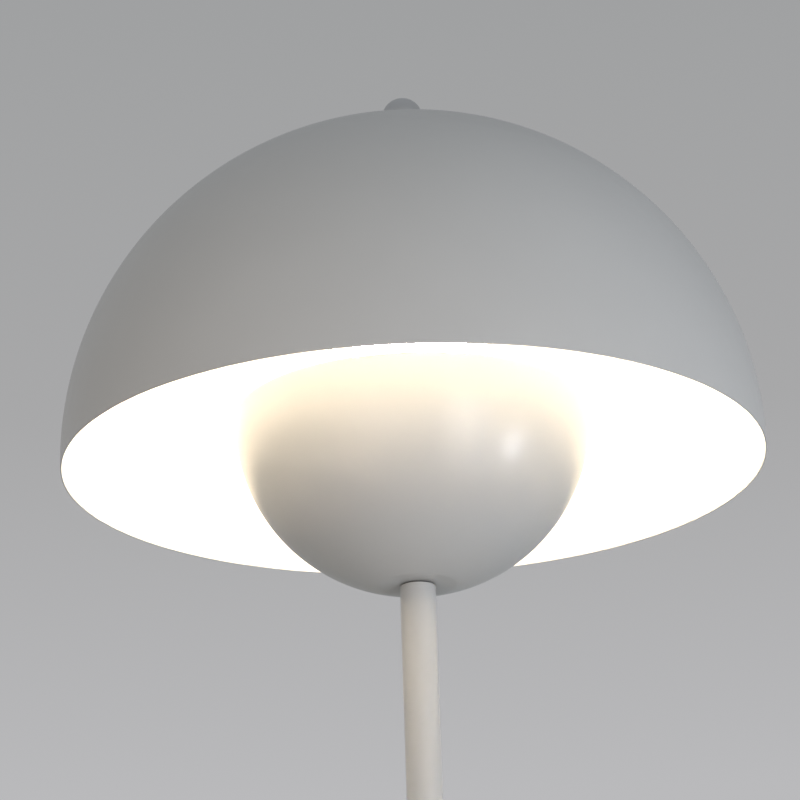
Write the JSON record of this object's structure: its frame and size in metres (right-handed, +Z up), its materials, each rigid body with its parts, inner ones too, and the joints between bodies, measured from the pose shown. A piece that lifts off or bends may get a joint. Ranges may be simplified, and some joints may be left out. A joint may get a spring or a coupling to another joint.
{
  "type": "floor lamp",
  "caption": "Mushroom floor lamp: domed metal shade over a smaller upturned bowl on a slim straight stem with a weighted round base.",
  "frame": {"origin": "centre of the base's underside, on the floor", "axes": "+Z up along the stem; +Y towards the back, where the cord's gland is; +X to the right seen from the front"},
  "size_m": [0.3599, 0.36, 1.4976],
  "materials": {
    "shade_paint": "satin",
    "body_paint": "satin",
    "carrier_paint": "satin",
    "polished_nickel": "polished",
    "zinc_steel": "satin",
    "cast_iron": "matte",
    "foot_rubber": "matte",
    "gland_plastic": "matte",
    "seat_nylon": "satin",
    "washer_plastic": "matte",
    "holder_plastic": "satin",
    "terminal_nylon": "matte",
    "brass": "satin",
    "lead_brown": "matte",
    "lead_blue": "matte",
    "opal_glass": "satin",
    "clear_glass": "polished",
    "filament_phosphor": "matte",
    "cap_nickel": "satin",
    "black_glass": "gloss",
    "solder": "satin"
  },
  "bodies": {
    "stand": {"base_pad": "foot_rubber", "base_weight": "cast_iron", "base_cover": "body_paint", "base_nipple": "zinc_steel", "base_washer": "zinc_steel", "base_nut": "zinc_steel", "cord_gland": "gland_plastic", "gland_nut": "gland_plastic", "terminal_block": "terminal_nylon", "terminal_screws": "zinc_steel", "lead_live": "lead_brown", "lead_neutral": "lead_blue", "stem_foot_bush": "zinc_steel", "stem_lower": "body_paint", "joint_plug_lower": "zinc_steel", "joint_bush_lower": "zinc_steel", "stem_middle": "body_paint", "joint_plug_upper": "zinc_steel", "joint_bush_upper": "zinc_steel", "stem_upper": "body_paint", "stem_head_bush": "zinc_steel", "stem_washer": "washer_plastic", "bowl": "body_paint", "head_nipple": "zinc_steel", "bowl_spacer": "zinc_steel", "carrier_ring": "carrier_paint", "carrier_arm_1": "carrier_paint", "carrier_arm_2": "carrier_paint", "carrier_arm_3": "carrier_paint", "arm_lower_nuts": "zinc_steel", "arm_upper_nuts": "zinc_steel", "carrier_hub": "carrier_paint", "carrier_stud": "zinc_steel", "holder_lock_nut": "zinc_steel", "holder_cap": "holder_plastic", "holder_shell": "holder_plastic", "holder_body": "holder_plastic", "holder_sleeve": "brass", "holder_contact": "brass", "holder_terminals": "brass", "holder_screws": "zinc_steel", "shade_seat": "seat_nylon"},
    "shade": {"shade": "shade_paint", "finial_washer": "polished_nickel"},
    "finial": {"finial": "polished_nickel"},
    "bulb": {"bulb_glass": "opal_glass", "bulb_mount": "clear_glass", "bulb_filaments": "filament_phosphor", "bulb_cap": "cap_nickel", "bulb_insulator": "black_glass", "bulb_contact": "solder"}
  },
  "joints": [
    {"name": "shade_lift", "type": "slide", "parent": "stand", "child": "shade", "axis": [0, 0, 1], "range_m": [0, 0.2]},
    {"name": "finial_turn", "type": "hinge", "parent": "shade", "child": "finial", "pos_m": [0, 0, 1.49], "axis": [0, 0, 1], "range_deg": [0, 4320]},
    {"name": "bulb_turn", "type": "hinge", "parent": "stand", "child": "bulb", "pos_m": [0, 0, 1.29], "axis": [0, 0, 1], "range_deg": [0, 1800]}
  ]
}
